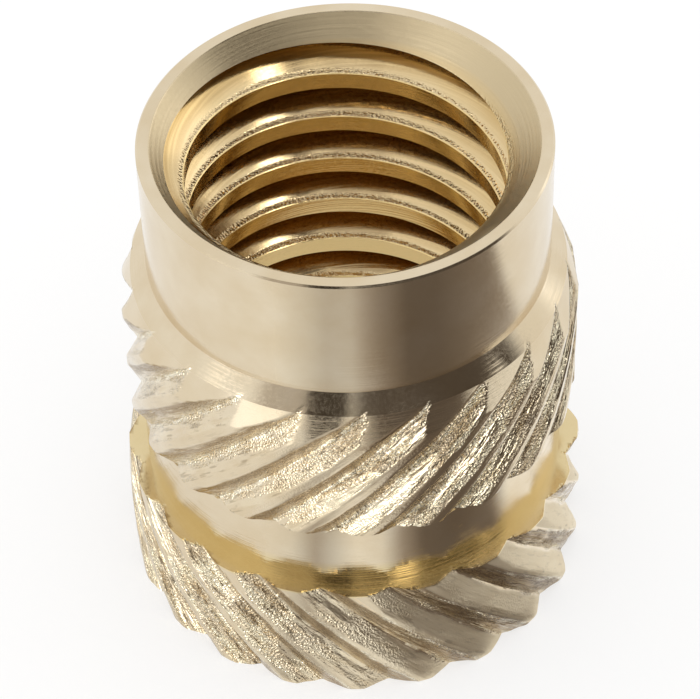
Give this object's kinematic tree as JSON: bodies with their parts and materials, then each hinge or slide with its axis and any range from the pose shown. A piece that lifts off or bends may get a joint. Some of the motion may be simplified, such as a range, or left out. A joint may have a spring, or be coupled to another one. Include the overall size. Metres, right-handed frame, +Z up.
{
  "type": "threaded insert",
  "caption": "Knurled brass threaded insert with a plain pilot, two bands of slanted teeth that lean opposite ways and a tapped hole right through.",
  "frame": {"origin": "centre of the flat base at the wide, knurled end", "axes": "+Z up the axis of the hole, from the wide end to the rim of the pilot; -Y is the side that faces the viewer"},
  "size_m": [0.0104, 0.0104, 0.012],
  "materials": {
    "brass": "pale bright brass, turned on the pilot and neck, pressed and torn on the knurls"
  },
  "bodies": {
    "root": {"threaded_insert": "brass"}
  },
  "joints": []
}
